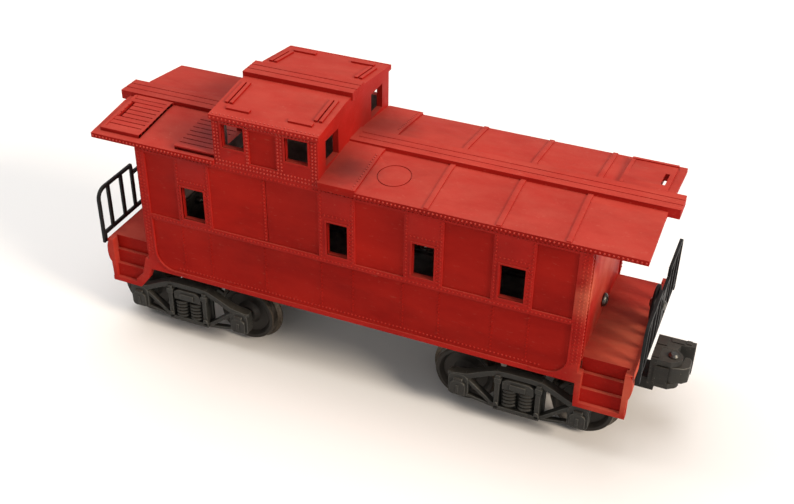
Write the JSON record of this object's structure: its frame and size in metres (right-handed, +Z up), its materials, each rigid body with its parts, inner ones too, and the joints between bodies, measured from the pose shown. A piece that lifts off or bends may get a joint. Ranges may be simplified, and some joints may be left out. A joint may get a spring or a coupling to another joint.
{
  "type": "model caboose",
  "caption": "Model railway caboose: hollow moulded shell with cupola and end steps on a stamped frame, swivelling trucks, spinning wheels and one knuckle coupler.",
  "frame": {"origin": "middle of the overall bounding box, at the bottom of the wheel flanges", "axes": "+X along the car towards the coupler end, +Y towards the car's left side, +Z up"},
  "size_m": [0.2, 0.0556, 0.0968],
  "materials": {
    "body_red": "moulded, dusty satin",
    "black_steel": "blackened",
    "steel": "dull plated",
    "casting": "chemically blackened die casting, dusty",
    "wheel": "blackened, worn brown on the tread",
    "brass": "tarnished",
    "lamp_glass": "clear",
    "fibre": "vulcanised fibre"
  },
  "bodies": {
    "car": {"body_shell": "body_red", "underframe": "steel", "coupler_end_screw": "steel", "plain_end_screw": "steel", "coupler_end_railing": "black_steel", "plain_end_railing": "black_steel", "brake_wheel_pin": "black_steel", "lamp_bracket": "steel", "lamp_socket": "brass", "lamp_base": "brass", "lamp_glass": "lamp_glass", "lamp_contact": "brass", "front_truck_pivot_stud": "steel", "front_truck_pivot_clip": "steel", "rear_truck_pivot_stud": "steel", "rear_truck_pivot_clip": "steel"},
    "brake_wheel": {"brake_wheel": "black_steel"},
    "front_truck": {"front_truck_bolster": "casting", "front_truck_side_frame_left": "casting", "front_truck_side_frame_right": "casting", "front_truck_inner_axle": "steel", "front_truck_outer_axle": "steel", "coupler_head": "casting", "knuckle_pin": "steel", "armature_pin": "steel"},
    "rear_truck": {"rear_truck_bolster": "casting", "rear_truck_side_frame_left": "casting", "rear_truck_side_frame_right": "casting", "rear_truck_inner_axle": "steel", "rear_truck_outer_axle": "steel", "pickup_plate": "fibre"},
    "knuckle": {"knuckle": "casting"},
    "armature_plate": {"armature_plate": "steel"},
    "pickup_arm": {"pickup_arm": "steel", "pickup_roller_pin": "steel"},
    "pickup_roller": {"pickup_roller": "brass"},
    "front_truck_inner_left_wheel": {"front_truck_inner_left_wheel": "wheel"},
    "front_truck_inner_right_wheel": {"front_truck_inner_right_wheel": "wheel"},
    "front_truck_outer_left_wheel": {"front_truck_outer_left_wheel": "wheel"},
    "front_truck_outer_right_wheel": {"front_truck_outer_right_wheel": "wheel"},
    "rear_truck_inner_left_wheel": {"rear_truck_inner_left_wheel": "wheel"},
    "rear_truck_inner_right_wheel": {"rear_truck_inner_right_wheel": "wheel"},
    "rear_truck_outer_left_wheel": {"rear_truck_outer_left_wheel": "wheel"},
    "rear_truck_outer_right_wheel": {"rear_truck_outer_right_wheel": "wheel"}
  },
  "joints": [
    {"name": "brake_wheel_spin", "type": "hinge", "parent": "car", "child": "brake_wheel", "pos_m": [0.08645, 0, 0.0436], "axis": [1, 0, 0], "continuous": true},
    {"name": "front_truck_swivel", "type": "hinge", "parent": "car", "child": "front_truck", "pos_m": [0.05145, 0, 0.02], "axis": [0, 0, 1], "range_deg": [-9, 9]},
    {"name": "rear_truck_swivel", "type": "hinge", "parent": "car", "child": "rear_truck", "pos_m": [-0.06805, 0, 0.02], "axis": [0, 0, 1], "range_deg": [-9, 9]},
    {"name": "front_truck_inner_left_wheel_spin", "type": "hinge", "parent": "front_truck", "child": "front_truck_inner_left_wheel", "pos_m": [0.0317, 0, 0.0118], "axis": [0, 1, 0], "continuous": true},
    {"name": "front_truck_inner_right_wheel_spin", "type": "hinge", "parent": "front_truck", "child": "front_truck_inner_right_wheel", "pos_m": [0.0317, 0, 0.0118], "axis": [0, 1, 0], "continuous": true},
    {"name": "front_truck_outer_left_wheel_spin", "type": "hinge", "parent": "front_truck", "child": "front_truck_outer_left_wheel", "pos_m": [0.0712, 0, 0.0118], "axis": [0, 1, 0], "continuous": true},
    {"name": "front_truck_outer_right_wheel_spin", "type": "hinge", "parent": "front_truck", "child": "front_truck_outer_right_wheel", "pos_m": [0.0712, 0, 0.0118], "axis": [0, 1, 0], "continuous": true},
    {"name": "rear_truck_inner_left_wheel_spin", "type": "hinge", "parent": "rear_truck", "child": "rear_truck_inner_left_wheel", "pos_m": [-0.0483, 0, 0.0118], "axis": [0, 1, 0], "continuous": true},
    {"name": "rear_truck_inner_right_wheel_spin", "type": "hinge", "parent": "rear_truck", "child": "rear_truck_inner_right_wheel", "pos_m": [-0.0483, 0, 0.0118], "axis": [0, 1, 0], "continuous": true},
    {"name": "rear_truck_outer_left_wheel_spin", "type": "hinge", "parent": "rear_truck", "child": "rear_truck_outer_left_wheel", "pos_m": [-0.0878, 0, 0.0118], "axis": [0, 1, 0], "continuous": true},
    {"name": "rear_truck_outer_right_wheel_spin", "type": "hinge", "parent": "rear_truck", "child": "rear_truck_outer_right_wheel", "pos_m": [-0.0878, 0, 0.0118], "axis": [0, 1, 0], "continuous": true},
    {"name": "knuckle_swing", "type": "hinge", "parent": "front_truck", "child": "knuckle", "pos_m": [0.09435, -0.0027, 0.0221], "axis": [0, 0, 1], "range_deg": [-35, 0]},
    {"name": "armature_swing", "type": "hinge", "parent": "front_truck", "child": "armature_plate", "pos_m": [0.07845, 0, 0.0102], "axis": [0, 1, 0], "range_deg": [-5, 0], "stiffness_Nm_per_rad": 0.004, "springref_deg": 5.73},
    {"name": "pickup_arm_swing", "type": "hinge", "parent": "rear_truck", "child": "pickup_arm", "pos_m": [-0.07555, 0, 0.0101], "axis": [0, 1, 0], "range_deg": [-9, 0], "stiffness_Nm_per_rad": 0.005, "springref_deg": 5.73},
    {"name": "pickup_roller_spin", "type": "hinge", "parent": "pickup_arm", "child": "pickup_roller", "pos_m": [-0.06255, 0, 0.0043], "axis": [0, 1, 0], "continuous": true}
  ]
}
